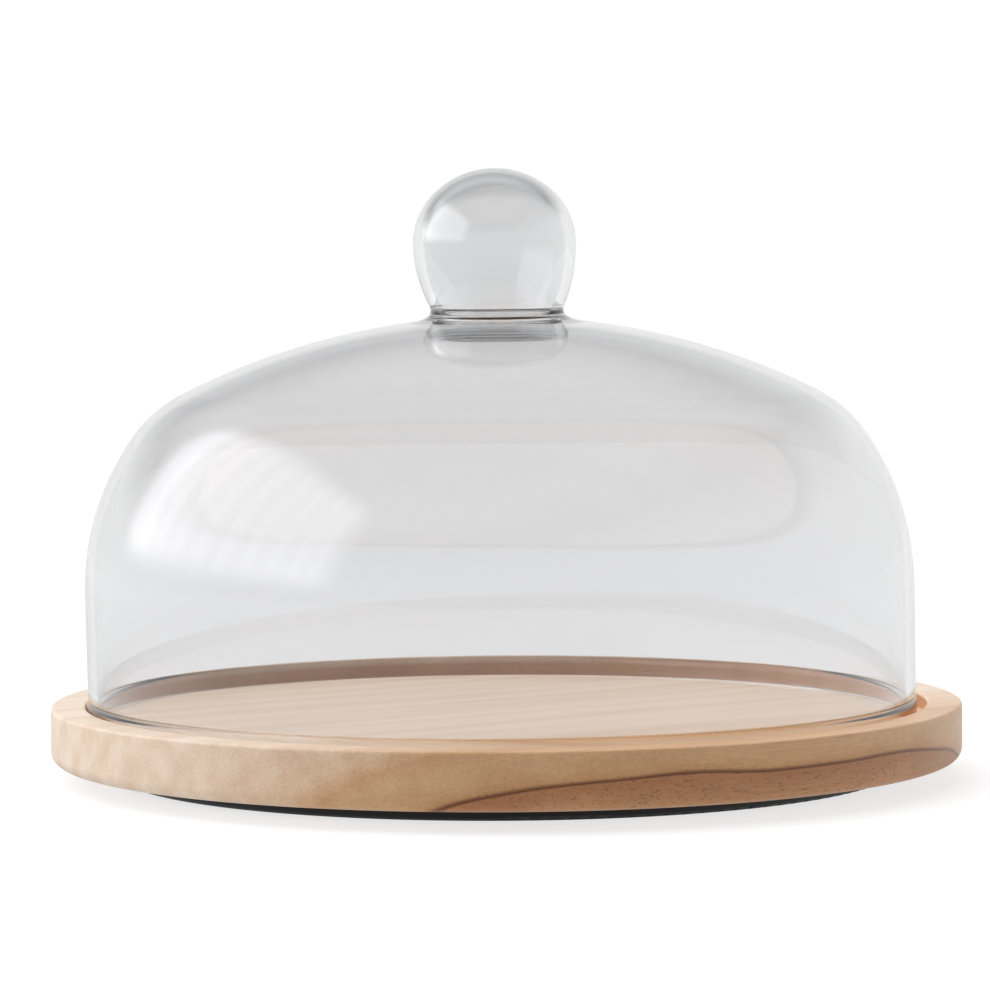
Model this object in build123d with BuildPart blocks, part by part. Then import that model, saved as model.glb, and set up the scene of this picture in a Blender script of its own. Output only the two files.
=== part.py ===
# A glass cloche with a hollow ball knob, standing in the recess of a round wooden board.
# The board turns on a low black base through a riveted steel ball bearing hidden in its underside.
#
# Millimetres, +Z up. The origin is on the turning axis, level with the surface under the rubber feet.
from build123d import *
import os
from math import cos, radians, sin, sqrt

# ---- Wooden board ---------------------------------------------------------------------------
board_radius = 150.0
board_thickness = 18.3
board_bottom_round = 4.0
board_top_round = 1.0
lip_width = 11.5            # wooden rim left around the recess
recess_depth = 5.0
recess_corner_round = 0.8   # left by the router bit where the wall meets the floor

# ---- Glass bell -----------------------------------------------------------------------------
dome_clearance = 1.7        # all round, between the rim bead and the recess wall
glass_thickness = 3.0
bead_width = 4.6            # fire-polished rim bead, thicker than the wall above it
bead_height = 6.0
bead_round = 1.6
bead_bulge = 0.4            # how far the bead stands out past the wall
wall_height = 43.0          # straight part of the wall, measured from the rim
lower_shoulder_radius = 88.0
lower_shoulder_turn = 34.5  # degrees turned by the lower shoulder arc
upper_shoulder_radius = 44.0
upper_shoulder_turn = 63.4  # degrees from the wall to where the crown begins
knob_hole_radius = 20.0
collar_radius = 23.4
collar_depth = 4.0          # how far the collar's ring hangs below the crown at its edge
collar_ring_width = 6.0
collar_web = 3.0            # glass that closes the middle of the ring
collar_round = 2.2
hollow_floor_drop = 1.5     # how far the knob's hollow dips into the collar

# ---- Hollow knob, heights measured from its foot --------------------------------------------
knob_radius = 26.9
knob_widest_height = 25.1
knob_shoulder_radius = 23.6  # arc from the widest point up to the top's own arc
knob_shoulder_turn = 50.0   # degrees turned by that arc
hollow_shoulder_radius = 19.3  # the same arc inside, tighter, which thickens the glass at the top
knob_neck_radius = 22.2
knob_neck_height = 4.5
knob_foot_radius = 24.3
knob_foot_edge = 0.3
knob_wall = 3.6

# ---- Ball bearing ---------------------------------------------------------------------------
ball_radius = 2.5
ball_count = 18
ball_circle_radius = 48.0
ball_clearance = 0.05       # between a ball and either groove
race_sheet = 1.2            # steel sheet of both races
race_half_gap = 1.3         # from the balls' centres to the flat of either race
race_edge_margin = 1.9      # flat sheet outside the rivets' tails
hub_margin = 3.9            # wood left between the groove's channel and the hub's lip
hub_clearance = 0.08        # between the hub and the upper race turning around it
hub_lip_width = 2.8         # the hub's rolled edge, over the upper race
hub_lip_gap = 0.15          # lift allowed before the lip holds the upper race down
cage_web = 0.9              # nylon left either side of the pockets
cage_thickness = 1.2
cage_pocket_clearance = 0.1

# ---- Turntable base and feet ----------------------------------------------------------------
base_setback = 21.5         # how far the base's edge stands in from the board's edge
base_thickness = 4.6
base_bottom_round = 2.0
base_top_round = 0.6
board_gap = 0.6             # open gap between the base and the board above it
race_seat_depth = 1.0       # step that locates the lower race in the base
seat_clearance = 0.3        # round the races, in the base and in the board
web_recess_depth = 2.2      # hollows between the ribs underneath
web_margin = 5.5            # solid ring kept outside the lower race
rim_width = 10.5            # solid ring kept at the base's edge
rib_count = 12
rib_width = 2.4
foot_count = 6
foot_radius = 7.0
foot_thickness = 2.0
foot_proud = 0.8
foot_setback = 20.5         # from the base's edge to the middle of a foot
foot_pocket_clearance = 0.1
foot_boss_wall = 2.0
foot_edge_chamfer = 0.3

# ---- Fasteners ------------------------------------------------------------------------------
screw_count = 4
screw_margin = 3.4          # from the groove's channel to a screw's head
screw_first_angle = 45.0
screw_radius = 1.75
screw_length = 9.0
screw_tip_length = 3.0
screw_head_radius = 3.0
screw_head_height = 2.0
screw_head_round = 1.2
drive_slot_length = 3.4
drive_slot_width = 0.7
drive_slot_depth = 1.1
screw_hole_clearance = 0.25
rivet_count = 4
rivet_margin = 1.4          # between the ring of screw heads and the ring of rivet tails
rivet_first_angle = 0.0
rivet_radius = 2.0
rivet_head_radius = 4.0
rivet_head_height = 1.0
rivet_head_pocket_depth = 1.2
rivet_head_pocket_clearance = 0.4
rivet_tail_radius = 3.1
rivet_tail_height = 1.0
rivet_bore_radius = 1.1     # hollow end of the semi-tubular rivet
rivet_bore_depth = 1.6
driver_hole_radius = 5.0    # lets a screwdriver reach the board's screws from below
driver_hole_angle = 15.0

# ---- Levels and radii that follow from the sizes above --------------------------------------
base_radius = board_radius - base_setback
recess_radius = board_radius - lip_width
dome_radius = recess_radius - dome_clearance - bead_bulge
base_level = foot_proud
base_top = base_level + base_thickness
board_level = base_top + board_gap
recess_floor = board_level + board_thickness - recess_depth
race_seat_level = base_top - race_seat_depth
ball_level = race_seat_level + race_sheet + race_half_gap
upper_race_top = ball_level + race_half_gap + race_sheet
groove_radius = ball_radius + ball_clearance
groove_back_radius = groove_radius + race_sheet
hub_top = upper_race_top + hub_lip_gap + race_sheet
foot_circle_radius = base_radius - foot_setback

# Rings of the bearing, outwards and inwards from the circle of the balls' centres.
groove_channel_half = sqrt(groove_back_radius**2 - (race_half_gap + race_sheet)**2) + seat_clearance
screw_circle_radius = ball_circle_radius + groove_channel_half + screw_margin + screw_head_radius
rivet_circle_radius = screw_circle_radius + screw_head_radius + rivet_margin + rivet_tail_radius
race_outer_radius = rivet_circle_radius + rivet_tail_radius + race_edge_margin
hub_lip_radius = ball_circle_radius - groove_channel_half - hub_margin
hub_outer_radius = hub_lip_radius - hub_lip_width
hub_inner_radius = hub_outer_radius - race_sheet
upper_race_bore_radius = hub_outer_radius + hub_clearance
cage_half_width = ball_radius + cage_pocket_clearance + cage_web

# The crown is a sphere centred on the axis, tangent to the upper shoulder arc.
lower_turn = radians(lower_shoulder_turn)
upper_turn = radians(upper_shoulder_turn)
shoulder_top_radius = (
    dome_radius
    - lower_shoulder_radius * (1 - cos(lower_turn))
    - upper_shoulder_radius * (cos(lower_turn) - cos(upper_turn))
)
shoulder_top_height = (
    wall_height
    + lower_shoulder_radius * sin(lower_turn)
    + upper_shoulder_radius * (sin(upper_turn) - sin(lower_turn))
)
crown_radius = shoulder_top_radius / cos(upper_turn)
crown_centre = shoulder_top_height - crown_radius * sin(upper_turn)
crown_inner_radius = crown_radius - glass_thickness


def height_on_sphere(radius, sphere_radius):
    """Height above the rim of a sphere about the crown's centre, at a distance from the axis."""
    return crown_centre + sqrt(sphere_radius**2 - radius**2)


knob_seat_height = height_on_sphere(knob_foot_radius, crown_radius)
knob_foot_level = recess_floor + knob_seat_height
knob_foot_bore = knob_neck_radius - knob_wall


def section_plane(level):
    """Half-section plane: local X is the distance from the axis, local Y the height above level."""
    return Plane(origin=(0, 0, level), x_dir=(1, 0, 0), z_dir=(0, -1, 0))


def save(builder, name):
    """Label a finished piece and write it as its own STEP file."""
    builder.part.label = name
    export_step(builder.part, f"parts/{name}.step")


os.makedirs("parts", exist_ok=True)

# ---- Glass bell -----------------------------------------------------------------------------
# One wall thickness from the straight wall over two shoulder arcs to the crown, which is pierced
# for the collar and ground flat around the hole as a seat for the knob.
with BuildPart() as glass_dome:
    with BuildSketch(section_plane(recess_floor)):
        with BuildLine():
            outer_wall = Line((dome_radius, 0), (dome_radius, wall_height))
            outer_lower = JernArc(outer_wall @ 1, outer_wall % 1, lower_shoulder_radius,
                                  lower_shoulder_turn)
            outer_upper = JernArc(outer_lower @ 1, outer_lower % 1, upper_shoulder_radius,
                                  upper_shoulder_turn - lower_shoulder_turn)
            outer_crown = RadiusArc((knob_foot_radius, knob_seat_height), outer_upper @ 1, crown_radius)
            inner_wall = Line((dome_radius - glass_thickness, 0),
                              (dome_radius - glass_thickness, wall_height))
            inner_lower = JernArc(inner_wall @ 1, inner_wall % 1,
                                  lower_shoulder_radius - glass_thickness, lower_shoulder_turn)
            inner_upper = JernArc(inner_lower @ 1, inner_lower % 1,
                                  upper_shoulder_radius - glass_thickness,
                                  upper_shoulder_turn - lower_shoulder_turn)
            inner_crown = RadiusArc(
                (knob_hole_radius, height_on_sphere(knob_hole_radius, crown_inner_radius)),
                inner_upper @ 1, crown_inner_radius)
            Polyline(outer_crown @ 0, (knob_hole_radius, knob_seat_height), inner_crown @ 0)
            Line(inner_wall @ 0, outer_wall @ 0)
        make_face()
        with Locations((dome_radius + bead_bulge - bead_width / 2, bead_height / 2)):
            RectangleRounded(bead_width, bead_height, bead_round)
    revolve(axis=Axis.Z)
save(glass_dome, "glass_dome")

# Thick glass collar where the knob was joined on: a spigot through the crown's hole, level with the
# knob's seat around a shallow dish, and a ring fused up against the inside of the crown. The glass
# inside the ring is thin, so the underside is dished too.
with BuildPart() as weld_collar:
    with BuildSketch(section_plane(recess_floor)):
        collar_edge_height = height_on_sphere(collar_radius, crown_inner_radius)
        collar_bottom = collar_edge_height - collar_depth
        hollow_floor = knob_seat_height - hollow_floor_drop
        ring_bore_radius = collar_radius - collar_ring_width
        with BuildLine():
            under_crown = RadiusArc(
                (knob_hole_radius, height_on_sphere(knob_hole_radius, crown_inner_radius)),
                (collar_radius, collar_edge_height), crown_inner_radius)
            Polyline(under_crown @ 1, (collar_radius, collar_bottom), (ring_bore_radius, collar_bottom),
                     (ring_bore_radius, hollow_floor - collar_web), (0, hollow_floor - collar_web),
                     (0, hollow_floor), (knob_foot_bore, hollow_floor),
                     (knob_foot_bore, knob_seat_height), (knob_hole_radius, knob_seat_height),
                     under_crown @ 0)
        make_face()
    revolve(axis=Axis.Z)
    fillet(weld_collar.edges().group_by(Axis.Z)[0], collar_round)
save(weld_collar, "weld_collar")


def capped_from(radius, shoulder_radius):
    """Tangent arcs from the knob's widest point to the axis; the second is centred on the axis."""
    shoulder = JernArc((radius, knob_widest_height), (0, 1), shoulder_radius, knob_shoulder_turn)
    top_radius = (shoulder @ 1).X / cos(radians(knob_shoulder_turn))
    return JernArc(shoulder @ 1, shoulder % 1, top_radius, 90 - knob_shoulder_turn)


# Blown knob, open at its foot, which closes on the collar and the crown.
with BuildPart() as glass_knob:
    with BuildSketch(section_plane(knob_foot_level)):
        with BuildLine():
            side = TangentArc((knob_radius, knob_widest_height), (knob_neck_radius, knob_neck_height),
                              tangent=(0, -1))
            flare = TangentArc(side @ 1, (knob_foot_radius, knob_foot_edge), tangent=side % 1)
            top = capped_from(knob_radius, knob_shoulder_radius)
            hollow_side = TangentArc((knob_radius - knob_wall, knob_widest_height),
                                     (knob_foot_bore, knob_neck_height), tangent=(0, -1))
            hollow_top = capped_from(knob_radius - knob_wall, hollow_shoulder_radius)
            Polyline(flare @ 1, (knob_foot_radius, 0), (knob_foot_bore, 0), hollow_side @ 1)
            Line(top @ 1, hollow_top @ 1)
        make_face()
    revolve(axis=Axis.Z)
save(glass_knob, "glass_knob")

# ---- Wooden board ---------------------------------------------------------------------------
with BuildPart() as wooden_board:
    with BuildSketch(Plane.XY.offset(board_level)):
        Circle(board_radius)
    extrude(amount=board_thickness)
    with BuildSketch(Plane.XY.offset(recess_floor)):
        Circle(recess_radius)
    extrude(amount=recess_depth, mode=Mode.SUBTRACT)
    edges_by_level = wooden_board.edges().filter_by(GeomType.CIRCLE).group_by(Axis.Z)
    fillet(edges_by_level[0], board_bottom_round)
    fillet(edges_by_level[-1], board_top_round)
    fillet(edges_by_level[1], recess_corner_round)
    # Pocket for the bearing, with a channel for the back of the groove and a well for the hub.
    with BuildSketch(Plane.XY.offset(board_level)):
        Circle(race_outer_radius + seat_clearance)
    extrude(amount=upper_race_top - board_level, mode=Mode.SUBTRACT)
    with BuildSketch(Plane.XY.offset(upper_race_top)):
        Circle(ball_circle_radius + groove_channel_half)
        Circle(ball_circle_radius - groove_channel_half, mode=Mode.SUBTRACT)
        Circle(hub_lip_radius + seat_clearance)
    extrude(amount=ball_level + groove_back_radius + seat_clearance - upper_race_top,
            mode=Mode.SUBTRACT)
    with BuildSketch(Plane.XY.offset(upper_race_top)):
        with PolarLocations(screw_circle_radius, screw_count, start_angle=screw_first_angle):
            Circle(screw_radius)
    extrude(amount=screw_length - race_sheet, mode=Mode.SUBTRACT)
save(wooden_board, "wooden_board")


# ---- Ball bearing ---------------------------------------------------------------------------
def race_outline(bore_radius, side):
    """Section of a flat race with a rolled groove, about the balls' centre; side is -1 or 1."""
    with Locations((ball_circle_radius, 0)):
        Circle(groove_back_radius)
    flat_edge = Align.MAX if side > 0 else Align.MIN
    with Locations((ball_circle_radius, side * race_half_gap)):
        Rectangle(4 * ball_radius, 4 * ball_radius, align=(Align.CENTER, flat_edge),
                  mode=Mode.SUBTRACT)
    sheet_edge = Align.MIN if side > 0 else Align.MAX
    with Locations((bore_radius, side * race_half_gap)):
        Rectangle(race_outer_radius - bore_radius, race_sheet, align=(Align.MIN, sheet_edge))
    with Locations((ball_circle_radius, 0)):
        Circle(groove_radius, mode=Mode.SUBTRACT)


with BuildPart() as upper_race:
    with BuildSketch(section_plane(ball_level)):
        race_outline(upper_race_bore_radius, 1)
    revolve(axis=Axis.Z)
    with BuildSketch(Plane.XY.offset(upper_race_top)):
        with PolarLocations(screw_circle_radius, screw_count, start_angle=screw_first_angle):
            Circle(screw_radius + screw_hole_clearance)
    extrude(amount=-race_sheet, mode=Mode.SUBTRACT)
save(upper_race, "upper_race")

# The lower race's inner edge is turned up through the upper race and rolled over it, which holds
# the bearing together when the board is picked up.
with BuildPart() as lower_race:
    with BuildSketch(section_plane(race_seat_level)):
        with Locations((0, ball_level - race_seat_level)):
            race_outline(hub_inner_radius, -1)
        with Locations((hub_inner_radius, 0)):
            Rectangle(race_sheet, hub_top - race_seat_level, align=Align.MIN)
        with Locations((hub_inner_radius, hub_top - race_seat_level)):
            Rectangle(race_sheet + hub_lip_width, race_sheet, align=(Align.MIN, Align.MAX))
    revolve(axis=Axis.Z)
    with BuildSketch(Plane.XY.offset(race_seat_level)):
        with PolarLocations(rivet_circle_radius, rivet_count, start_angle=rivet_first_angle):
            Circle(rivet_radius)
        with PolarLocations(screw_circle_radius, 1, start_angle=driver_hole_angle):
            Circle(driver_hole_radius)
    extrude(amount=race_sheet, mode=Mode.SUBTRACT)
save(lower_race, "lower_race")

with BuildPart() as ball_cage:
    with BuildSketch(Plane.XY.offset(ball_level)):
        Circle(ball_circle_radius + cage_half_width)
        Circle(ball_circle_radius - cage_half_width, mode=Mode.SUBTRACT)
        with PolarLocations(ball_circle_radius, ball_count):
            Circle(ball_radius + cage_pocket_clearance, mode=Mode.SUBTRACT)
    extrude(amount=cage_thickness / 2, both=True)
save(ball_cage, "ball_cage")

for number, place in enumerate(PolarLocations(ball_circle_radius, ball_count).locations, start=1):
    with BuildPart() as bearing_ball:
        with Locations((place.position.X, place.position.Y, ball_level)):
            Sphere(ball_radius)
    save(bearing_ball, f"bearing_ball_{number:02d}")

# ---- Turntable base -------------------------------------------------------------------------
with BuildPart() as turntable_base:
    with BuildSketch(Plane.XY.offset(base_level)):
        Circle(base_radius)
    extrude(amount=base_thickness)
    base_rims = turntable_base.edges().filter_by(GeomType.CIRCLE).sort_by(Axis.Z)
    fillet(base_rims[0], base_bottom_round)
    fillet(base_rims[-1], base_top_round)
    # Step for the lower race, around a boss that fits inside its hub, and a channel for the groove.
    with BuildSketch(Plane.XY.offset(race_seat_level)):
        Circle(race_outer_radius + seat_clearance)
        Circle(hub_inner_radius - seat_clearance, mode=Mode.SUBTRACT)
    extrude(amount=race_seat_depth, mode=Mode.SUBTRACT)
    with BuildSketch(Plane.XY.offset(ball_level - groove_back_radius - seat_clearance / 2)):
        Circle(ball_circle_radius + groove_channel_half)
        Circle(ball_circle_radius - groove_channel_half, mode=Mode.SUBTRACT)
    extrude(until=Until.LAST, mode=Mode.SUBTRACT)
    # Hollows between the radial ribs underneath, leaving a boss for each foot.
    with BuildSketch(Plane.XY.offset(base_level)):
        Circle(base_radius - rim_width)
        Circle(race_outer_radius + web_margin, mode=Mode.SUBTRACT)
        with PolarLocations(base_radius / 2, rib_count):
            Rectangle(base_radius, rib_width, mode=Mode.SUBTRACT)
        with PolarLocations(foot_circle_radius, foot_count):
            Circle(foot_radius + foot_boss_wall, mode=Mode.SUBTRACT)
    extrude(amount=web_recess_depth, mode=Mode.SUBTRACT)
    with BuildSketch(Plane.XY.offset(base_level)):
        with PolarLocations(foot_circle_radius, foot_count):
            Circle(foot_radius + foot_pocket_clearance)
    extrude(amount=foot_thickness - foot_proud, mode=Mode.SUBTRACT)
    # Rivet holes with pockets for the heads, and the screwdriver's hole.
    with BuildSketch(Plane.XY.offset(base_level)):
        with PolarLocations(rivet_circle_radius, rivet_count, start_angle=rivet_first_angle):
            Circle(rivet_head_radius + rivet_head_pocket_clearance)
    extrude(amount=rivet_head_pocket_depth, mode=Mode.SUBTRACT)
    with BuildSketch(Plane.XY.offset(base_level)):
        with PolarLocations(rivet_circle_radius, rivet_count, start_angle=rivet_first_angle):
            Circle(rivet_radius)
        with PolarLocations(screw_circle_radius, 1, start_angle=driver_hole_angle):
            Circle(driver_hole_radius)
    extrude(amount=base_thickness, mode=Mode.SUBTRACT)
save(turntable_base, "turntable_base")

for number, place in enumerate(PolarLocations(foot_circle_radius, foot_count).locations, start=1):
    with BuildPart() as rubber_foot:
        with BuildSketch(Plane.XY):
            with Locations((place.position.X, place.position.Y)):
                Circle(foot_radius)
        extrude(amount=foot_thickness)
        chamfer(rubber_foot.edges().filter_by(GeomType.CIRCLE).sort_by(Axis.Z)[0], foot_edge_chamfer)
    save(rubber_foot, f"rubber_foot_{number}")

# ---- Fasteners ------------------------------------------------------------------------------
# Pan-head wood screws, driven up through the upper race into the board.
screw_places = PolarLocations(screw_circle_radius, screw_count, start_angle=screw_first_angle)
screw_head_level = upper_race_top - race_sheet
with BuildPart() as board_screws:
    with BuildSketch(Plane.XY.offset(screw_head_level)):
        with screw_places:
            Circle(screw_head_radius)
    extrude(amount=-screw_head_height)
    fillet(board_screws.edges().filter_by(GeomType.CIRCLE).group_by(Axis.Z)[0], screw_head_round)
    with BuildSketch(Plane.XY.offset(screw_head_level - screw_head_height)):
        with screw_places:
            Rectangle(drive_slot_length, drive_slot_width)
            Rectangle(drive_slot_width, drive_slot_length)
    extrude(amount=drive_slot_depth, mode=Mode.SUBTRACT)
    with BuildSketch(Plane.XY.offset(screw_head_level)):
        with screw_places:
            Circle(screw_radius)
    extrude(amount=screw_length - screw_tip_length)
    with Locations(*[
        Location((place.position.X, place.position.Y, screw_head_level + screw_length - screw_tip_length))
        for place in screw_places.locations
    ]):
        Cone(screw_radius, 0.2, screw_tip_length, align=(Align.CENTER, Align.CENTER, Align.MIN))
save(board_screws, "board_screws")

# Semi-tubular rivets, heads up in the base's pockets and tails set over the lower race.
rivet_places = PolarLocations(rivet_circle_radius, rivet_count, start_angle=rivet_first_angle)
rivet_head_top = base_level + rivet_head_pocket_depth
rivet_tail_level = race_seat_level + race_sheet
with BuildPart() as base_rivets:
    with BuildSketch(Plane.XY.offset(rivet_head_top)):
        with rivet_places:
            Circle(rivet_head_radius)
    extrude(amount=-rivet_head_height)
    with BuildSketch(Plane.XY.offset(rivet_head_top)):
        with rivet_places:
            Circle(rivet_radius)
    extrude(amount=rivet_tail_level - rivet_head_top)
    with BuildSketch(Plane.XY.offset(rivet_tail_level)):
        with rivet_places:
            Circle(rivet_tail_radius)
    extrude(amount=rivet_tail_height)
    with BuildSketch(Plane.XY.offset(rivet_tail_level + rivet_tail_height)):
        with rivet_places:
            Circle(rivet_bore_radius)
    extrude(amount=-rivet_bore_depth, mode=Mode.SUBTRACT)
save(base_rivets, "base_rivets")
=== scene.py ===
# %% [markdown]
# # A glass cloche on a turning board
# The object is a blown glass bell with a hollow ball knob. It stands in the recess of a round
# wooden board, and the board turns on a low black base through a steel ball bearing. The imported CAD
# model is loaded first and never moved: each new surface is worked out around it, in place.

# %% Load the frame
import bpy
import numpy as np
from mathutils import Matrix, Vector


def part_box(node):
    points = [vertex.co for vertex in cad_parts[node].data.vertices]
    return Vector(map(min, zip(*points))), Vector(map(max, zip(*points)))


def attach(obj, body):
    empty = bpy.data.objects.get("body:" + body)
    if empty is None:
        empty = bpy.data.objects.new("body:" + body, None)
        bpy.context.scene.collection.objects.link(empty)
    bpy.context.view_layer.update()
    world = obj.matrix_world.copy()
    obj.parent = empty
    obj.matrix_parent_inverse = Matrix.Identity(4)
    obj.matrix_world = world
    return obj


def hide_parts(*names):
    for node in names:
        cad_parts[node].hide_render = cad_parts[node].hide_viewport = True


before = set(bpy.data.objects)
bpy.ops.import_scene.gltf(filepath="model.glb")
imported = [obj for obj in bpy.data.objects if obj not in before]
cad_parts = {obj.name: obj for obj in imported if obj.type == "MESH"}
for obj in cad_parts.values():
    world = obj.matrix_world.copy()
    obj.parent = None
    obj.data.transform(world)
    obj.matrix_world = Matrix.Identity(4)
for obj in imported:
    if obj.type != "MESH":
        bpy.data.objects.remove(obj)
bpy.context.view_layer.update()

# %% [markdown]
# Blender works in metres, but a maker thinks of a board or a glass wall in millimetres. One factor
# keeps both: every size below is written in millimetres times MM.

# %% Units and places
MM = 0.001

board_low, board_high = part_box("wooden_board")
dome_low, dome_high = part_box("glass_dome")
knob_low, knob_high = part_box("glass_knob")
collar_low, collar_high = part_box("weld_collar")
print("rim of the bell stands at", round(dome_low.z / MM, 2), "mm")

# %% [markdown]
# ## Turned shapes
# Almost everything here is round about one axis, as if it had come off a lathe or a glassblower's
# iron. A modeller could add a circle and use the Spin tool or the Screw modifier. A turned surface
# is also a plain formula, so numpy can work out all its points at once, and the seam closes by
# itself because the last column of faces uses the first column's points again.

# %% Profiles
def arc(centre, radius, start, end, count):
    """Points (c_r + R cos t, c_z + R sin t) for t from start to end, in degrees."""
    t = np.radians(np.linspace(start, end, count))
    return np.column_stack([centre[0] + radius * np.cos(t), centre[1] + radius * np.sin(t)])


def run(start, end, spacing):
    """Points start + (end - start) t, about one spacing apart, with one more close to each end."""
    start, end = np.asarray(start, float), np.asarray(end, float)
    length = np.hypot(*(end - start))
    t = np.linspace(0, 1, max(2, int(np.ceil(length / spacing)) + 1))
    close = min(0.1, 0.25 * MM / length)
    t = np.unique(np.concatenate([t, [close, 1 - close]]))
    return start + (end - start) * t[:, None]


def joined(*pieces):
    """The pieces one after another, without points that repeat."""
    points = np.vstack(pieces)
    step = np.hypot(*np.diff(points, axis=0).T)
    return points[np.concatenate([[True], step > 1e-7])]


# %% [markdown]
# A profile runs from the axis outwards and then downwards, which makes every face point out of the
# material. Where it touches the axis, a single point closes the pole with a fan of triangles.

# %% Surfaces of revolution
def turned(profile, sectors, bend=None):
    """Points (r cos a, r sin a, z) for each profile point (r, z) and each angle a around the axis.
    An optional bend takes the arrays x, y, z and gives them back slightly out of true."""
    angle = np.linspace(0, 2 * np.pi, sectors, endpoint=False)
    radius, height = profile[:, :1], profile[:, 1:]
    x = radius * np.cos(angle)
    y = radius * np.sin(angle)
    z = np.broadcast_to(height, x.shape)
    if bend is not None:
        x, y, z = bend(x, y, z)
    points = np.stack([x, y, z], axis=-1)
    index = np.arange(points.shape[0] * sectors).reshape(points.shape[:2])
    at_axis = profile[:, 0] < 1e-9
    index[at_axis] = index[at_axis][:, :1]
    here, below = index[:-1], index[1:]
    around = lambda grid: np.roll(grid, -1, axis=1)
    quads = np.stack([here, below, around(below), around(here)], axis=-1).reshape(-1, 4)
    return points.reshape(-1, 3), quads


def build(name, *surfaces):
    """One mesh from several (points, quads); a quad with a repeated corner becomes a triangle."""
    points, faces, count = [], [], 0
    for surface_points, quads in surfaces:
        first_pole = quads[:, 0] == quads[:, 3]
        last_pole = quads[:, 1] == quads[:, 2]
        whole = ~(first_pole | last_pole)
        faces += (quads[whole] + count).tolist()
        faces += (quads[first_pole][:, :3] + count).tolist()
        faces += (quads[last_pole][:, [0, 1, 3]] + count).tolist()
        points.append(surface_points)
        count += len(surface_points)
    points = np.vstack(points)
    used = np.unique(np.concatenate([np.asarray(face) for face in faces]))
    renumber = np.full(len(points), -1)
    renumber[used] = np.arange(len(used))
    mesh = bpy.data.meshes.new(name)
    mesh.from_pydata(points[used], [], [[int(renumber[i]) for i in face] for face in faces])
    mesh.validate()
    mesh.shade_smooth()
    piece = bpy.data.objects.new(name, mesh)
    bpy.context.scene.collection.objects.link(piece)
    print(name, "has", sum(len(face) - 2 for face in faces), "triangles")
    return piece


# %% [markdown]
# ## Materials
# A finish is a small network of shader nodes. One helper adds a node, sets its values and links its
# inputs, and one turns a colour picked on a screen, which is sRGB, into the linear light that
# Blender mixes.

# %% Material helpers
def linear(code, alpha=1.0):
    """sRGB hex to linear light: c / 12.92 below 0.04045, else ((c + 0.055) / 1.055) ** 2.4."""
    channels = np.array([int(code[i:i + 2], 16) for i in (1, 3, 5)]) / 255
    light = np.where(channels <= 0.04045, channels / 12.92, ((channels + 0.055) / 1.055) ** 2.4)
    return (*light.tolist(), alpha)


def add(material, kind, settings=None, **inputs):
    """Add one node. An input is a value or another node's output. In an input's name an underscore
    stands for a space, and _0, _1 and so on mean the socket's number."""
    node = material.node_tree.nodes.new(kind)
    for key, value in (settings or {}).items():
        setattr(node, key, value)
    for key, value in inputs.items():
        numbered = key[1:].isdigit()
        socket = node.inputs[int(key[1:]) if numbered else key.replace("_", " ")]
        if isinstance(value, bpy.types.NodeSocket):
            material.node_tree.links.new(value, socket)
        else:
            socket.default_value = value
    return node


def grey(level):
    """A neutral colour of one linear level."""
    return (level, level, level, 1)


def new_material(name):
    """An empty material and its output node."""
    material = bpy.data.materials.new(name)
    material.use_nodes = True
    material.node_tree.nodes.clear()
    return material, material.node_tree.nodes.new("ShaderNodeOutputMaterial")


def ramp(material, factor, *stops):
    """A colour ramp through (position, linear colour) stops."""
    node = add(material, "ShaderNodeValToRGB", Fac=factor)
    elements = node.color_ramp.elements
    while len(elements) < len(stops):
        elements.new(0.5)
    for element, (position, colour) in zip(elements, stops):
        element.position = position
        element.color = colour
    return node.outputs["Color"]


def stretched(material, source, x, y, z):
    """Object coordinates divided by a pattern's real length along X, Y and Z, in metres."""
    scale = (1 / x, 1 / y, 1 / z)
    node = add(material, "ShaderNodeVectorMath", {"operation": "MULTIPLY"}, _0=source, _1=scale)
    return node.outputs["Vector"]


def faded(material, value, start, end):
    """0 where the value is at start or before it, 1 at end or past it, and straight between."""
    return add(material, "ShaderNodeMapRange", Value=value, From_Min=start,
               From_Max=end).outputs["Result"]


# %% [markdown]
# ### Glass
# The bell is soda-lime glass, blown and fire-polished: perfectly smooth, with an index near 1.52.
# Its faint green comes from iron and shows only where light crosses a lot of glass, as in the thick
# collar and the rim, so it is a volume that absorbs light rather than a surface colour.

# %% Soda-lime glass
def make_glass():
    material, output = new_material("soda_lime_glass")
    surface = add(material, "ShaderNodeBsdfPrincipled", Base_Color=linear("#ECECED"),
                  Transmission_Weight=1.0, Roughness=0.0, IOR=1.52)
    volume = add(material, "ShaderNodeVolumeAbsorption", Color=linear("#D2D8D0"), Density=14.0)
    material.node_tree.links.new(surface.outputs["BSDF"], output.inputs["Surface"])
    material.node_tree.links.new(volume.outputs["Volume"], output.inputs["Volume"])
    return material


# %% [markdown]
# ### Wood
# The board is one slab of a pale wood, planed, sanded and lightly oiled. Real grain is a solid
# thing: growth rings are tubes around the heart of the tree, and a sawn face shows where it cuts
# them. So the pattern is worked out in three dimensions, in the tree's own directions: along the
# grain, and the distance from the heart. The same tubes then give long lines where the edge runs
# with the grain, slanting bands where it crosses it, and wide bands on top.

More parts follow.
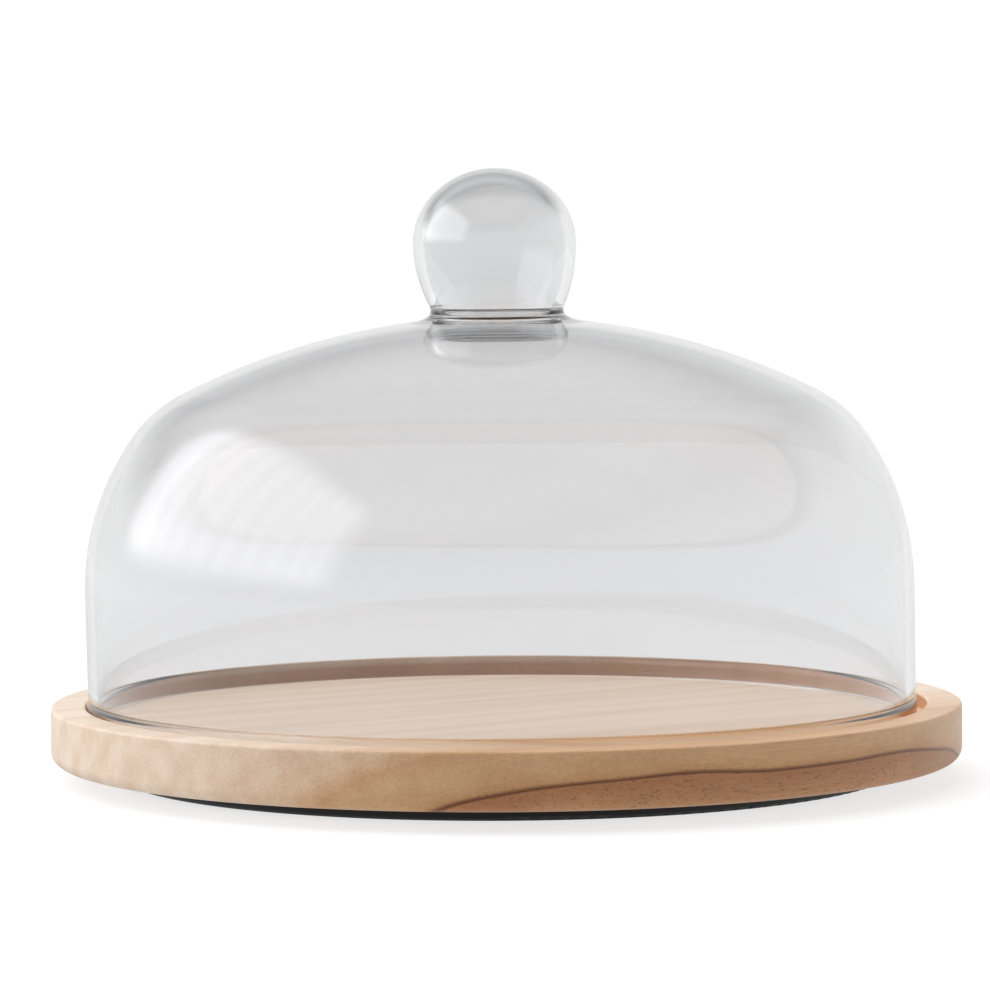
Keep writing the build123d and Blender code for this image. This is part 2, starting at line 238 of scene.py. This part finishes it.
# %% The tree the board was sawn from
grain_turn = 35.0                # degrees from X to the grain, seen from above
heart_aside, heart_below = 150 * MM, 88 * MM    # the tree's heart lies this far out and down
heartwood_edge = 104 * MM        # radius of the one dark ring that the board's edge shows
ring_spacing = 17 * MM
ring_wander = 3.0 * MM           # how far a ring strays from a true circle
wander_length, wander_width = 150 * MM, 50 * MM
figure_length, figure_width = 150 * MM, 8 * MM    # broad faint streaks along the grain
fibre_length, fibre_width = 50 * MM, 0.8 * MM
pore_length, pore_width = 3.2 * MM, 0.5 * MM    # drawn a little coarse, so that they show
lip_width = 11.5 * MM
recess_radius = board_high.x - lip_width        # the turned wall of the recess


# %% [markdown]
# Heartwood is browner than sapwood, and the ring between them is dark and sharp. The other rings
# are only soft shades. Open pores show as dark dashes in the heartwood and hardly elsewhere. The
# short upright wall of the recess is painted a deeper brown: painted shade, for the shade inside the
# recess.

# %% Oiled pale wood
def make_wood():
    material, output = new_material("oiled_pale_wood")
    place = add(material, "ShaderNodeTexCoord").outputs["Object"]
    tree = add(material, "ShaderNodeMapping", Vector=place,
               Rotation=(0, 0, -np.radians(grain_turn)),
               Location=(0.0, heart_aside, heart_below)).outputs["Vector"]
    across = add(material, "ShaderNodeVectorMath", {"operation": "MULTIPLY"}, _0=tree, _1=(0, 1, 1))
    wander = add(material, "ShaderNodeTexNoise",
                 Vector=stretched(material, tree, wander_length, wander_width, wander_width),
                 Scale=1.0, Detail=2.0, Roughness=0.45).outputs["Fac"]
    true_radius = add(material, "ShaderNodeVectorMath", {"operation": "LENGTH"},
                      _0=across.outputs["Vector"]).outputs["Value"]
    radius = add(material, "ShaderNodeMath", {"operation": "MULTIPLY_ADD"}, _0=wander,
                 _1=4 * ring_wander, _2=true_radius).outputs[0]
    outward = add(material, "ShaderNodeMath", {"operation": "SUBTRACT"}, _0=radius,
                  _1=heartwood_edge + 2 * ring_wander).outputs[0]

    years = add(material, "ShaderNodeMath", {"operation": "DIVIDE"}, _0=outward, _1=ring_spacing)
    season = add(material, "ShaderNodeMath", {"operation": "FRACT"}, _0=years.outputs[0]).outputs[0]
    late = ramp(material, season, (0.0, grey(0.5)), (0.2, grey(0.0)), (0.6, grey(0.1)),
                (0.9, grey(0.9)), (1.0, grey(0.5)))
    zone = add(material, "ShaderNodeMapRange", Value=outward, From_Min=-10 * MM,
               From_Max=50 * MM).outputs["Result"]
    wood_tone = ramp(material, zone, (0.0, linear("#B88A61")), (0.155, linear("#B07F57")),
                     (0.163, linear("#6A3D1E")), (0.170, linear("#7E4F2C")),
                     (0.185, linear("#BF9468")), (0.42, linear("#CDAB87")),
                     (0.70, linear("#D8C2AC")), (1.0, linear("#DBC8B5")))
    calm = ramp(material, zone, (0.35, grey(1.0)), (0.75, grey(0.35)))
    shade = add(material, "ShaderNodeMath", {"operation": "MULTIPLY"}, _0=late, _1=calm).outputs[0]
    banded = add(material, "ShaderNodeMix", {"data_type": "RGBA", "blend_type": "MULTIPLY"},
                 _0=shade, _6=wood_tone, _7=linear("#EEDFCE")).outputs[2]

    figure = add(material, "ShaderNodeTexNoise",
                 Vector=stretched(material, tree, figure_length, figure_width, figure_width),
                 Scale=1.0, Detail=2.0, Roughness=0.5).outputs["Fac"]
    figure_tone = ramp(material, figure, (0.38, linear("#E9DCCD")), (0.60, grey(1.0)))
    figured = add(material, "ShaderNodeMix", {"data_type": "RGBA", "blend_type": "MULTIPLY"},
                  _0=0.4, _6=banded, _7=figure_tone).outputs[2]

    fibres = add(material, "ShaderNodeTexNoise",
                 Vector=stretched(material, tree, fibre_length, fibre_width, fibre_width),
                 Scale=1.0, Detail=3.0, Roughness=0.6).outputs["Fac"]
    fibre_tone = ramp(material, fibres, (0.3, linear("#DCD5CD")), (0.7, grey(1.0)))
    fibred = add(material, "ShaderNodeMix", {"data_type": "RGBA", "blend_type": "MULTIPLY"},
                 _0=0.55, _6=figured, _7=fibre_tone).outputs[2]

    pores = add(material, "ShaderNodeTexNoise",
                Vector=stretched(material, tree, pore_length, pore_width, pore_width),
                Scale=1.0, Detail=1.0, Roughness=0.5).outputs["Fac"]
    open_pore = ramp(material, pores, (0.60, grey(0.0)), (0.70, grey(1.0)))
    porous = ramp(material, zone, (0.165, grey(0.6)), (0.20, grey(0.14)), (0.45, grey(0.05)))
    depth = add(material, "ShaderNodeMath", {"operation": "MULTIPLY"}, _0=open_pore,
                _1=porous).outputs[0]
    pored = add(material, "ShaderNodeMix", {"data_type": "RGBA"}, _0=depth, _6=fibred,
                _7=linear("#5E3A20")).outputs[2]

    flat = add(material, "ShaderNodeVectorMath", {"operation": "MULTIPLY"}, _0=place, _1=(1, 1, 0))
    from_axis = add(material, "ShaderNodeVectorMath", {"operation": "LENGTH"},
                    _0=flat.outputs["Vector"]).outputs["Value"]
    level = add(material, "ShaderNodeSeparateXYZ", Vector=place).outputs["Z"]
    # Painted shade: a band on the upright wall of the recess, just under the lip, is multiplied by a
    # deeper brown for the shade inside the recess.
    at_wall = faded(material, from_axis, recess_radius - 1.0 * MM, recess_radius - 0.1 * MM)
    under_lip = faded(material, level, board_high.z - 0.2 * MM, board_high.z - 1.4 * MM)
    near_wall = faded(material, from_axis, recess_radius + 2.0 * MM, recess_radius + 1.2 * MM)
    ring = add(material, "ShaderNodeMath", {"operation": "MULTIPLY"}, _0=at_wall, _1=near_wall)
    painted_recess_shade = add(material, "ShaderNodeMath", {"operation": "MULTIPLY"}, _0=ring.outputs[0],
                 _1=under_lip).outputs[0]
    # The wood's colour with the painted recess shade multiplied in.
    oiled = add(material, "ShaderNodeMix", {"data_type": "RGBA", "blend_type": "MULTIPLY"},
                _0=painted_recess_shade, _6=pored, _7=linear("#DDB189")).outputs[2]

    gloss = add(material, "ShaderNodeMapRange", Value=fibres, From_Min=0.3, From_Max=0.7,
                To_Min=0.30, To_Max=0.40).outputs["Result"]
    relief = add(material, "ShaderNodeMath", {"operation": "MULTIPLY_ADD"}, _0=depth, _1=-1.5,
                 _2=fibres).outputs[0]
    bump = add(material, "ShaderNodeBump", Height=relief, Strength=0.3, Distance=0.05 * MM)
    surface = add(material, "ShaderNodeBsdfPrincipled", Base_Color=oiled, Roughness=gloss,
                  Normal=bump.outputs["Normal"], IOR=1.5)
    material.node_tree.links.new(surface.outputs["BSDF"], output.inputs["Surface"])
    return material


# %% [markdown]
# ### Black plastic, steel, nylon and rubber
# The base is moulded ABS with the fine even grain of a spark-eroded mould. The races, screws and
# rivets are steel with a thin zinc plating, which is never quite even. The balls are ground and
# polished bearing steel, the cage is milky nylon, and the feet are dull black rubber.

# %% Moulded, plated and rubbery finishes
def make_grained(name, colour, roughness, spread, grain, depth, **inputs):
    """A finish with a fine even grain: noise of a real size varies roughness and lifts the face."""
    material, output = new_material(name)
    place = add(material, "ShaderNodeTexCoord").outputs["Object"]
    noise = add(material, "ShaderNodeTexNoise",
                Vector=stretched(material, place, grain, grain, grain),
                Scale=1.0, Detail=2.0).outputs["Fac"]
    dulled = add(material, "ShaderNodeMapRange", Value=noise, From_Min=0.3, From_Max=0.7,
                 To_Min=roughness - spread, To_Max=roughness + spread).outputs["Result"]
    cloudy = add(material, "ShaderNodeTexNoise",
                 Vector=stretched(material, place, 40 * grain, 40 * grain, 40 * grain),
                 Scale=1.0, Detail=1.0).outputs["Fac"]
    shade = linear(colour)
    darker = tuple(0.82 * channel for channel in shade[:3]) + (1,)
    tone = ramp(material, cloudy, (0.3, darker), (0.7, shade))
    bump = add(material, "ShaderNodeBump", Height=noise, Strength=0.5, Distance=depth)
    surface = add(material, "ShaderNodeBsdfPrincipled", Base_Color=tone, Roughness=dulled,
                  Normal=bump.outputs["Normal"], **inputs)
    material.node_tree.links.new(surface.outputs["BSDF"], output.inputs["Surface"])
    return material


glass = make_glass()
wood = make_wood()
black_abs = make_grained("moulded_black_abs", "#070708", 0.48, 0.06, 0.3 * MM, 0.02 * MM, IOR=1.53)
zinc = make_grained("zinc_plated_steel", "#C3C7CA", 0.30, 0.06, 0.6 * MM, 0.004 * MM, Metallic=1.0)
bearing_steel = make_grained("polished_bearing_steel", "#D2D4D6", 0.10, 0.03, 0.2 * MM, 0.001 * MM,
                             Metallic=1.0)
nylon = make_grained("natural_nylon", "#E9E5D9", 0.45, 0.05, 0.4 * MM, 0.01 * MM, IOR=1.53)
rubber = make_grained("black_rubber", "#1D1D1E", 0.78, 0.08, 0.35 * MM, 0.03 * MM, IOR=1.52)
print("materials:", [material.name for material in bpy.data.materials])

# %% [markdown]
# ## The glass
# On the real cloche the bell, the collar and the knob are one piece of glass, joined hot. A
# renderer needs it that way too: two solids that only touch would show a false inner surface. So
# one closed skin runs from the top of the knob down the outside, round the rim bead and up the
# inside to the underside of the collar, and a second closed skin is the air inside the knob.
#
# The straight wall turns into the crown over two tangent arcs, and the crown is a piece of a sphere
# about the axis. Each arc's centre follows from the one before it, because arcs that meet smoothly
# have their centres on one line through the point where they meet.

# %% Sizes of the glass
bead_bulge = 0.4 * MM
wall_radius = dome_high.x - bead_bulge
glass_thickness = 3.0 * MM
bead_width, bead_height, bead_round = 4.6 * MM, 6.0 * MM, 2.0 * MM
wall_height = 43.0 * MM
lower_radius, lower_turn = 88.0 * MM, 34.5
upper_radius, upper_turn = 44.0 * MM, 63.4
rim_level = dome_low.z


def bell_arcs(thickness):
    """The bell's three arcs with their radii reduced by a thickness: (centre, radius, start, end)
    from the wall up, in degrees from the horizontal; the crown's arc ends on the axis."""
    turn_1, turn_2 = np.radians([lower_turn, upper_turn])
    centre_1 = np.array([wall_radius - lower_radius, rim_level + wall_height])
    centre_2 = centre_1 + (lower_radius - upper_radius) * np.array([np.cos(turn_1), np.sin(turn_1)])
    reach = centre_2 + upper_radius * np.array([np.cos(turn_2), np.sin(turn_2)])
    crown_radius = reach[0] / np.cos(turn_2)
    centre_3 = np.array([0.0, reach[1] - crown_radius * np.sin(turn_2)])
    return ((centre_1, lower_radius - thickness, 0.0, lower_turn),
            (centre_2, upper_radius - thickness, lower_turn, upper_turn),
            (centre_3, crown_radius - thickness, upper_turn, 90.0))


outer_arcs, inner_arcs = bell_arcs(0.0), bell_arcs(glass_thickness)
print("crown radius", round(outer_arcs[2][1] / MM, 1), "mm")

# %% [markdown]
# The knob's outside is an arc down to the neck and a tight flare onto the crown. Where the knob was
# joined, a thick ring of glass hangs under the crown. It melted a little in the flame, so its edge
# is round, and a thin web closes its middle.

# %% Profiles of the glass
knob_radius = knob_high.x
knob_foot = knob_low.z
widest = knob_foot + 25.1 * MM
neck_radius, neck_level = 22.2 * MM, knob_foot + 4.5 * MM
shoulder_radius, hollow_shoulder_radius, shoulder_turn = 23.6 * MM, 19.3 * MM, 50.0
knob_wall = 3.6 * MM
flare_reach = 27.0 * MM
collar_radius = collar_high.x
collar_bottom = collar_low.z
collar_ring_width, collar_web, collar_round = 6.0 * MM, 3.0 * MM, 2.4 * MM
hollow_floor = knob_foot - 1.5 * MM


def side_arc(reach, foot_radius, foot_level, count):
    """The arc that starts upright at (reach, widest) and passes (foot_radius, foot_level): its
    radius is (d^2 + h^2) / 2d for the setback d and the drop h, and its centre is level with it."""
    setback, drop = reach - foot_radius, widest - foot_level
    radius = (setback ** 2 + drop ** 2) / (2 * setback)
    end = -np.degrees(np.arcsin(drop / radius))
    return arc((reach - radius, widest), radius, 0.0, end, count)


def cap_arcs(reach, radius, count):
    """From the axis down to (reach, widest): a top arc centred on the axis, then a shoulder arc."""
    turn = np.radians(shoulder_turn)
    centre = np.array([reach - radius, widest])
    top_radius = (centre[0] + radius * np.cos(turn)) / np.cos(turn)
    top_centre = (0.0, widest + radius * np.sin(turn) - top_radius * np.sin(turn))
    return joined(arc(top_centre, top_radius, 90.0, shoulder_turn, count),
                  arc(centre, radius, shoulder_turn, 0.0, count))


def smooth_corner(before, corner, after, count):
    """A quadratic Bezier curve: (1-t)^2 before + 2t(1-t) corner + t^2 after."""
    t = np.linspace(0, 1, count)[:, None]
    before, corner, after = np.array(before), np.array(corner), np.array(after)
    return (1 - t) ** 2 * before + 2 * t * (1 - t) * corner + t ** 2 * after


def crown_point(radius, arcs):
    """The point of the crown's arc at a distance from the axis."""
    centre, size = arcs[2][:2]
    return np.array([radius, centre[1] + np.sqrt(size ** 2 - radius ** 2)])


def down(arcs, reach, spacing):
    """The crown from a distance from the axis outwards, then both shoulder arcs to the wall."""
    centre, size = arcs[2][:2]
    first = np.degrees(np.arccos(reach / size))
    parts = []
    for (middle, radius, start, end), high in zip(arcs[::-1], (first, upper_turn, lower_turn)):
        count = int(np.radians(high - start) * radius / spacing) + 2
        parts.append(arc(middle, radius, high, start, count))
    return joined(*parts)


flare_end = crown_point(flare_reach, outer_arcs)
flare_corner = (20.9 * MM, crown_point(21.0 * MM, outer_arcs)[1] + 0.5 * MM)
flare = smooth_corner((neck_radius, neck_level), flare_corner, flare_end, 16)
outside = joined(
    cap_arcs(knob_radius, shoulder_radius, 22),
    side_arc(knob_radius, neck_radius, neck_level, 20),
    flare,
    down(outer_arcs, flare_reach, 2.6 * MM),
)
bead_out, bead_in = wall_radius + bead_bulge, wall_radius + bead_bulge - bead_width
bead_top = rim_level + bead_height
inner_wall = wall_radius - glass_thickness
wall_top, blend_out, blend_in = rim_level + wall_height, bead_top + 0.9 * MM, bead_top + 1.1 * MM
bead_shoulder = bead_top - 2 * MM
rim = joined(
    run((wall_radius, wall_top), (wall_radius, blend_out), 3 * MM),
    smooth_corner((wall_radius, blend_out), (bead_out, bead_top), (bead_out, bead_shoulder), 9),
    run((bead_out, bead_shoulder), (bead_out, rim_level + bead_round), 1.5 * MM),
    arc((bead_out - bead_round, rim_level + bead_round), bead_round, 0, -90, 9),
    arc((bead_in + bead_round, rim_level + bead_round), bead_round, -90, -180, 9),
    run((bead_in, rim_level + bead_round), (bead_in, bead_shoulder), 1.5 * MM),
    smooth_corner((bead_in, bead_shoulder), (bead_in, bead_top), (inner_wall, blend_in), 9),
    run((inner_wall, blend_in), (inner_wall, wall_top), 3 * MM),
)
ring_middle = collar_bottom + collar_round
ring_bore = collar_radius - collar_ring_width
web_bottom = hollow_floor - collar_web
collar_join = crown_point(collar_radius + 1.5 * MM, inner_arcs)
inside = joined(
    down(inner_arcs, collar_radius + 1.5 * MM, 2.8 * MM)[::-1],
    smooth_corner(collar_join, (collar_radius, collar_join[1] + 0.2 * MM),
                  (collar_radius, collar_join[1] - 1.5 * MM), 9),
    arc((collar_radius - collar_round, ring_middle), collar_round, 0, -90, 12),
    arc((ring_bore + collar_round, ring_middle), collar_round, -90, -180, 12),
    smooth_corner((ring_bore, ring_middle), (ring_bore, web_bottom),
                  (ring_bore - 3 * MM, web_bottom), 9),
    run((ring_bore - 3 * MM, web_bottom), (0.0, web_bottom), 1.6 * MM),
)
hollow_foot = neck_radius - knob_wall
floor_round = 1.5 * MM
hollow = joined(
    run((0.0, hollow_floor), (hollow_foot - floor_round, hollow_floor), 1.6 * MM),
    smooth_corner((hollow_foot - floor_round, hollow_floor), (hollow_foot, hollow_floor),
                  (hollow_foot, hollow_floor + floor_round), 9),
    side_arc(knob_radius - knob_wall, hollow_foot, neck_level, 18)[::-1],
    cap_arcs(knob_radius - knob_wall, hollow_shoulder_radius, 20)[::-1],
)
hollow[-1, 0] = hollow[0, 0] = 0.0
skin = joined(outside, rim, inside)
skin[0, 0] = skin[-1, 0] = 0.0


# %% [markdown]
# Nothing blown by hand is quite true. The bell has slipped sideways in its recess, its wall leans a
# little, the crown sits tipped and the knob leans again. The wall also swells by less than a fifth
# of a millimetre here and there, which is enough to make reflections wander. All of it is eased in
# with smooth steps, and the skin and the hollow bend together, so the wall keeps its thickness.

# %% The glass as one piece
bell_slip, wall_lean, knob_lean = -1.4 * MM, -0.6 * MM, -0.9 * MM
crown_tip = 0.0035               # rise per length along X, about a fifth of a degree
crown_level = rim_level + 90 * MM


def eased(z, low, high):
    """Smooth step t^2 (3 - 2t), where t grows from 0 at low to 1 at high."""
    t = np.clip((z - low) / (high - low), 0, 1)
    return t * t * (3 - 2 * t)


def hand_blown(x, y, z):
    """Radius times 1 + w (e sin(2a + z/40mm) + f sin(3a - z/25mm)), where w eases in above the
    rim; then a shift along X and a rise in step with X."""
    angle = np.arctan2(y, x)
    raised = eased(z, rim_level + bead_height, rim_level + 40 * MM)
    swell = 1 + raised * (0.0008 * np.sin(2 * angle + z / (40 * MM)) +
                          0.0005 * np.sin(3 * angle - z / (25 * MM)))
    shift = (bell_slip + wall_lean * eased(z, rim_level, rim_level + 60 * MM)
             + knob_lean * eased(z, collar_bottom, widest))
    tip = crown_tip * x * eased(z, rim_level + wall_height, crown_level)
    return x * swell + shift, y * swell, z + tip


cloche = build("blown_glass_cloche", turned(skin, 264, hand_blown), turned(hollow, 160, hand_blown))
cloche.data.materials.append(glass)
cloche.visible_shadow = False
cloche.visible_diffuse = False
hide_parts("glass_dome", "glass_knob", "weld_collar")
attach(cloche, "dome")

# %% [markdown]
# ## The board
# The board is turned too: a flat recess for the bell, a narrow lip, a softened top edge and a
# rounder bottom edge that fingers can get under, and a stepped pocket below for the bearing.

# %% Wooden board
board_radius = board_high.x
mouth_round, corner_round = 1.0 * MM, 0.8 * MM
top_round, bottom_round = 1.0 * MM, 4.0 * MM
pocket_radius, channel_radii, well_radius = 70.3 * MM, (44.9 * MM, 51.1 * MM), 41.3 * MM
pocket_ceiling, channel_ceiling = 9.4 * MM, 10.95 * MM
top, bottom, floor_z = board_high.z, board_low.z, rim_level
board_profile = joined(
    run((0, floor_z), (recess_radius - corner_round, floor_z), 4 * MM),
    arc((recess_radius - corner_round, floor_z + corner_round), corner_round, -90, 0, 6),
    run((recess_radius, floor_z + corner_round), (recess_radius, top - mouth_round), 1.5 * MM),
    arc((recess_radius + mouth_round, top - mouth_round), mouth_round, 180, 90, 7),
    run((recess_radius + mouth_round, top), (board_radius - top_round, top), 1.5 * MM),
    arc((board_radius - top_round, top - top_round), top_round, 90, 0, 7),
    run((board_radius, top - top_round), (board_radius, bottom + bottom_round), 1.5 * MM),
    arc((board_radius - bottom_round, bottom + bottom_round), bottom_round, 0, -90, 12),
    run((board_radius - bottom_round, bottom), (pocket_radius, bottom), 4 * MM),
    run((pocket_radius, bottom), (pocket_radius, pocket_ceiling), 2 * MM),
    run((pocket_radius, pocket_ceiling), (channel_radii[1], pocket_ceiling), 4 * MM),
    run((channel_radii[1], pocket_ceiling), (channel_radii[1], channel_ceiling), 1 * MM),
    run((channel_radii[1], channel_ceiling), (channel_radii[0], channel_ceiling), 2 * MM),
    run((channel_radii[0], channel_ceiling), (channel_radii[0], pocket_ceiling), 1 * MM),
    run((channel_radii[0], pocket_ceiling), (well_radius, pocket_ceiling), 2 * MM),
    run((well_radius, pocket_ceiling), (well_radius, channel_ceiling), 1 * MM),
    run((well_radius, channel_ceiling), (0, channel_ceiling), 6 * MM),
)
board = build("turned_wooden_board", turned(board_profile, 400))
board.data.materials.append(wood)
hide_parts("wooden_board")
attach(board, "board")

# %% [markdown]
# ## The turning gear
# The base, the bearing and the fasteners already have their true shapes in the frame. Their meshes
# are left alone, and modifiers finish them: Weld joins the loose triangles, and Bevel rounds the
# sharp edges by a fraction of a millimetre, as moulding and stamping do.

# %% Finishing the frame's own pieces
def finish_node(name, material, edge):
    """Give a node its material, welded triangles and rounded edges."""
    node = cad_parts[name]
    if not node.material_slots:
        node.data.materials.append(material)
    for slot in node.material_slots:
        slot.material = material
    weld = node.modifiers.new("weld", "WELD")
    weld.merge_threshold = 0.001 * MM
    if edge:
        bevel = node.modifiers.new("rounded_edges", "BEVEL")
        bevel.width = edge
        bevel.segments = 2
        bevel.limit_method = "ANGLE"
        bevel.angle_limit = np.radians(40)
        bevel.harden_normals = True


finish_node("turntable_base", black_abs, 0.2 * MM)
for node_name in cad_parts:
    if node_name.startswith("rubber_foot"):
        finish_node(node_name, rubber, 0.0)
    elif node_name.startswith("bearing_ball"):
        finish_node(node_name, bearing_steel, 0.0)
    elif node_name.endswith("_race"):
        finish_node(node_name, zinc, 0.0)
    elif node_name in ("board_screws", "base_rivets"):
        finish_node(node_name, zinc, 0.15 * MM)
    elif node_name == "ball_cage":
        finish_node(node_name, nylon, 0.15 * MM)

# %% [markdown]
# ## Stage, light and camera
# Clear glass is drawn by what surrounds it. A bright horizon shows through the walls, a darker
# cornice above it draws the crown and the edges, and a paler ceiling lights the middle of the
# crown. The room is brighter to the right, so there the bright wall reaches higher. A big soft
# panel on the left stands for a window, and its reflection lies on the bell's shoulder. The sun
# lights the wood but hides from the glass, where its disc would show with a hard edge.

# %% Stage
floor_mesh = bpy.data.meshes.new("studio_floor")
reach = 12.0
floor_level = -0.05 * MM         # a hair under the feet, so that no two surfaces share one place
corners = ((-reach, -reach), (reach, -reach), (reach, reach), (-reach, reach))
floor_mesh.from_pydata([(x, y, floor_level) for x, y in corners], [], [(0, 1, 2, 3)])
studio_floor = bpy.data.objects.new("studio_floor", floor_mesh)
bpy.context.scene.collection.objects.link(studio_floor)
floor_paint, floor_output = new_material("matt_white_floor")
floor_surface = add(floor_paint, "ShaderNodeBsdfPrincipled", Base_Color=linear("#8C8C8C"),
                    Roughness=0.9, Specular_IOR_Level=0.0, Emission_Color=linear("#FFFFFF"),
                    Emission_Strength=0.74)
floor_paint.node_tree.links.new(floor_surface.outputs["BSDF"], floor_output.inputs["Surface"])
floor_mesh.materials.append(floor_paint)
studio_floor.visible_glossy = False

# %% Light
world = bpy.data.worlds.new("studio")
bpy.context.scene.world = world
world.use_nodes = True
world.node_tree.nodes.clear()
world_output = world.node_tree.nodes.new("ShaderNodeOutputWorld")
direction = add(world, "ShaderNodeTexCoord").outputs["Generated"]
part = add(world, "ShaderNodeSeparateXYZ", Vector=direction)
slant = add(world, "ShaderNodeMath", {"operation": "MULTIPLY_ADD"}, _0=part.outputs["X"],
            _1=-0.4, _2=1.0).outputs[0]
rise = add(world, "ShaderNodeMath", {"operation": "MULTIPLY"}, _0=part.outputs["Z"],
           _1=slant).outputs[0]
height = faded(world, rise, -1.0, 1.0)
room = ramp(world, height, (0.36, grey(0.5)), (0.48, grey(1.0)), (0.60, grey(1.0)),
            (0.72, (0.46, 0.46, 0.47, 1)), (0.84, (0.72, 0.72, 0.73, 1)),
            (1.0, (0.62, 0.62, 0.63, 1)))
behind = add(world, "ShaderNodeMapRange", Value=part.outputs["Y"], From_Min=-0.9, From_Max=0.3,
             To_Min=0.5, To_Max=1.02).outputs["Result"]
background = add(world, "ShaderNodeBackground", Color=room, Strength=behind)
world.node_tree.links.new(background.outputs["Background"], world_output.inputs["Surface"])


def add_light(name, kind, place, aim, power, **settings):
    """A light at a place, turned so that it shines towards a point."""
    light = bpy.data.lights.new(name, kind)
    light.energy = power
    for key, value in settings.items():
        setattr(light, key, value)
    lamp = bpy.data.objects.new(name, light)
    bpy.context.scene.collection.objects.link(lamp)
    lamp.location = place
    lamp.rotation_euler = (Vector(aim) - Vector(place)).to_track_quat("-Z", "Y").to_euler()
    return lamp


centre = (0.0, 0.0, 0.1)
overhead = add_light("soft_overhead_sun", "SUN", (-0.9, 0.9, 2.4), centre, 2.6,
                     angle=np.radians(70))
overhead.visible_glossy = False
overhead.visible_transmission = False
window = add_light("window_left", "AREA", (-1.6, -0.25, 0.95), (0, -0.25, 0.45), 32.0,
                   shape="RECTANGLE", size=3.4, size_y=1.7)

# %% [markdown]
# A hard-edged panel would show a hard-edged reflection. A net curtain softens a real window, so the
# panel fades towards its four edges and carries the faint upright folds of the cloth.

# %% Curtain on the window
window.data.use_nodes = True
curtain = window.data
curtain.node_tree.nodes.clear()
panel = add(curtain, "ShaderNodeTexCoord").outputs["UV"]
across = add(curtain, "ShaderNodeSeparateXYZ", Vector=panel)
fold_count, fold_depth = 12, 0.08
side_fade, top_fade = 0.18, 0.22    # as parts of the panel's width and height


def fade(side, width):
    """Smooth step from 0 at both edges of the panel to 1 a width inside them."""
    middle = add(curtain, "ShaderNodeMath", {"operation": "SUBTRACT"}, _0=side, _1=0.5)
    edge = add(curtain, "ShaderNodeMath", {"operation": "ABSOLUTE"}, _0=middle.outputs[0])
    return add(curtain, "ShaderNodeMapRange", {"interpolation_type": "SMOOTHSTEP"},
               Value=edge.outputs[0], From_Min=0.5, From_Max=0.5 - width).outputs["Result"]


turns = add(curtain, "ShaderNodeMath", {"operation": "MULTIPLY"}, _0=across.outputs["X"],
            _1=2 * np.pi * fold_count)
folds = add(curtain, "ShaderNodeMath", {"operation": "SINE"}, _0=turns.outputs[0])
folded = add(curtain, "ShaderNodeMath", {"operation": "MULTIPLY_ADD"}, _0=folds.outputs[0],
             _1=fold_depth, _2=1.0)
soft = add(curtain, "ShaderNodeMath", {"operation": "MULTIPLY"},
           _0=fade(across.outputs["X"], side_fade), _1=fade(across.outputs["Y"], top_fade))
strength = add(curtain, "ShaderNodeMath", {"operation": "MULTIPLY"}, _0=soft.outputs[0],
               _1=folded.outputs[0])
glow = add(curtain, "ShaderNodeEmission", Color=linear("#FBFAFF"), Strength=strength.outputs[0])
curtain_output = curtain.node_tree.nodes.new("ShaderNodeOutputLight")
curtain.node_tree.links.new(glow.outputs["Emission"], curtain_output.inputs["Surface"])

# %% Camera
camera_data = bpy.data.cameras.new("camera")
camera = bpy.data.objects.new("camera", camera_data)
bpy.context.scene.collection.objects.link(camera)
camera_data.lens = 150.0
camera_data.sensor_width = 36.0
camera_data.clip_end = 50.0
camera.location = (-0.0028, -1.36, 0.166)
look_down, roll = 3.11, 0.37     # degrees: the camera is held a little crooked
camera.rotation_euler = (np.radians(90 - look_down), np.radians(roll), 0.0)
bpy.context.scene.camera = camera
bpy.context.scene.view_settings.view_transform = "Standard"
